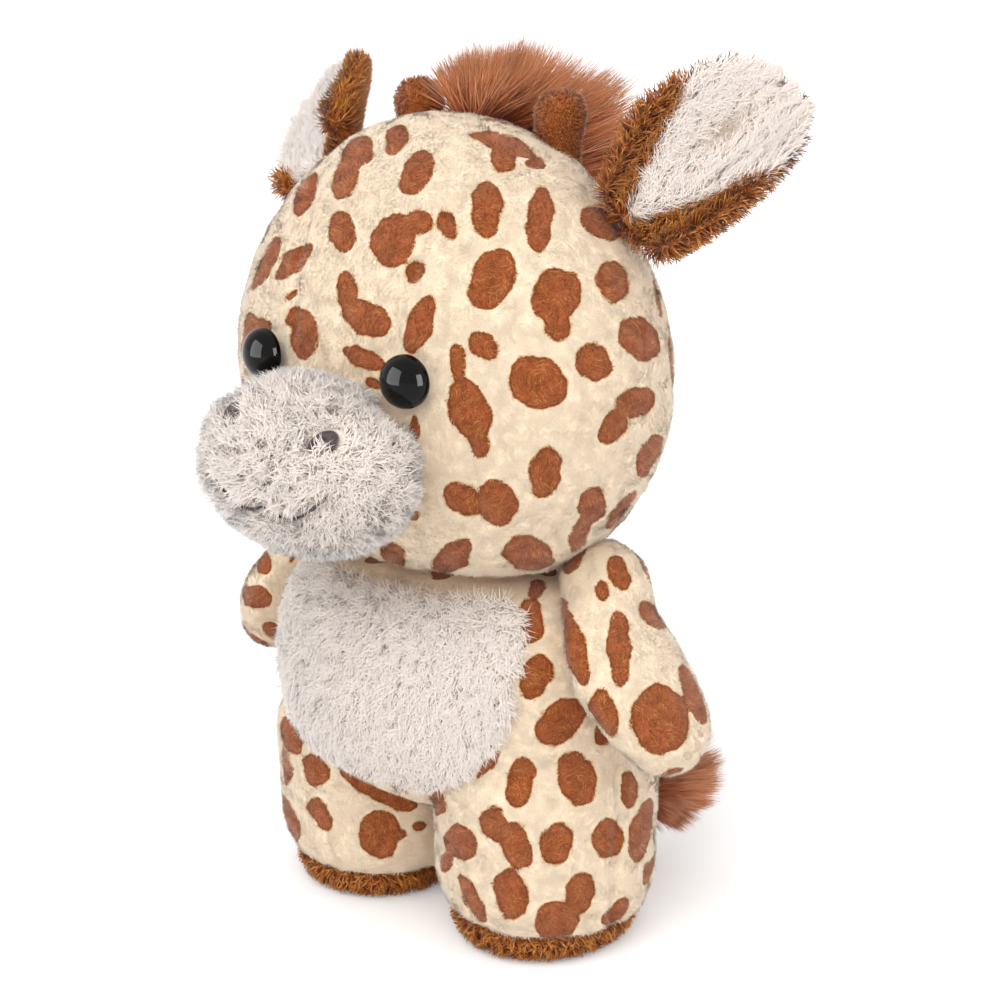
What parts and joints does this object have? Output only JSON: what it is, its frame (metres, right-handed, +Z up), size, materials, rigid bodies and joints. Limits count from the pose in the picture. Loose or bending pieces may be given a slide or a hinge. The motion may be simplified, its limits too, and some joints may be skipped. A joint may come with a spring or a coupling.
{
  "type": "plush giraffe",
  "caption": "Standing plush giraffe with a big spotted head, white muzzle and belly shield, hinged arms and ears, turning head and swinging tufted tail.",
  "frame": {"origin": "on the ground, under the middle of the bounding box", "axes": "+Z up, the giraffe looks along -Y, +X is its own left side"},
  "size_m": [0.1508, 0.1192, 0.2112],
  "materials": {
    "spotted_fabric": "short cream pile with rust brown spots",
    "white_pile": "curly white pile",
    "brown_pile": "shaggy golden brown pile",
    "horn_velvet": "dark brown velvet",
    "tan_hair": "long straight tan hair",
    "eye_black": "moulded, polished",
    "washer_white": "moulded, natural",
    "dark_thread": "satin stitch",
    "filling": "loose polyester fibre"
  },
  "bodies": {
    "torso": {"body_skin": "spotted_fabric", "belly_panel": "white_pile", "body_stuffing": "filling", "sole_left": "brown_pile", "sole_right": "brown_pile"},
    "head": {"head_skin": "spotted_fabric", "head_stuffing": "filling", "muzzle_skin": "white_pile", "muzzle_stuffing": "filling", "eye_left": "eye_black", "eye_right": "eye_black", "eye_washer_left": "washer_white", "eye_washer_right": "washer_white", "nostril_left": "dark_thread", "nostril_right": "dark_thread", "mouth_left": "dark_thread", "mouth_right": "dark_thread", "horn_left": "horn_velvet", "horn_right": "horn_velvet", "horn_stuffing_left": "filling", "horn_stuffing_right": "filling", "mane": "tan_hair"},
    "ear_left": {"ear_back_left": "brown_pile", "ear_front_left": "white_pile"},
    "ear_right": {"ear_back_right": "brown_pile", "ear_front_right": "white_pile"},
    "arm_left": {"arm_skin_left": "spotted_fabric", "arm_stuffing_left": "filling"},
    "arm_right": {"arm_skin_right": "spotted_fabric", "arm_stuffing_right": "filling"},
    "tail": {"tail_tube": "spotted_fabric", "tail_tuft": "tan_hair"}
  },
  "joints": [
    {"name": "head_turn", "type": "hinge", "parent": "torso", "child": "head", "pos_m": [0, 0.00745, 0.094], "axis": [0, 0, 1], "range_deg": [-15, 15], "stiffness_Nm_per_rad": 0.05},
    {"name": "ear_left_flex", "type": "hinge", "parent": "head", "child": "ear_left", "pos_m": [0.0465, 0.00695, 0.1775], "axis": [0.7322, 0.0732, -0.6772], "range_deg": [-12, 12], "stiffness_Nm_per_rad": 0.01},
    {"name": "ear_right_flex", "type": "hinge", "parent": "head", "child": "ear_right", "pos_m": [-0.0465, 0.00695, 0.1775], "axis": [0.7322, -0.0732, 0.6772], "range_deg": [-12, 12], "stiffness_Nm_per_rad": 0.01},
    {"name": "arm_left_lift", "type": "hinge", "parent": "torso", "child": "arm_left", "pos_m": [0.044, 0.00745, 0.0905], "axis": [0, -1, 0], "range_deg": [0, 60]},
    {"name": "arm_right_lift", "type": "hinge", "parent": "torso", "child": "arm_right", "pos_m": [-0.044, 0.00745, 0.0905], "axis": [0, 1, 0], "range_deg": [0, 60]},
    {"name": "tail_swing", "type": "hinge", "parent": "torso", "child": "tail", "pos_m": [0, 0.04865, 0.049], "axis": [0, 0, 1], "range_deg": [-6, 100]}
  ]
}
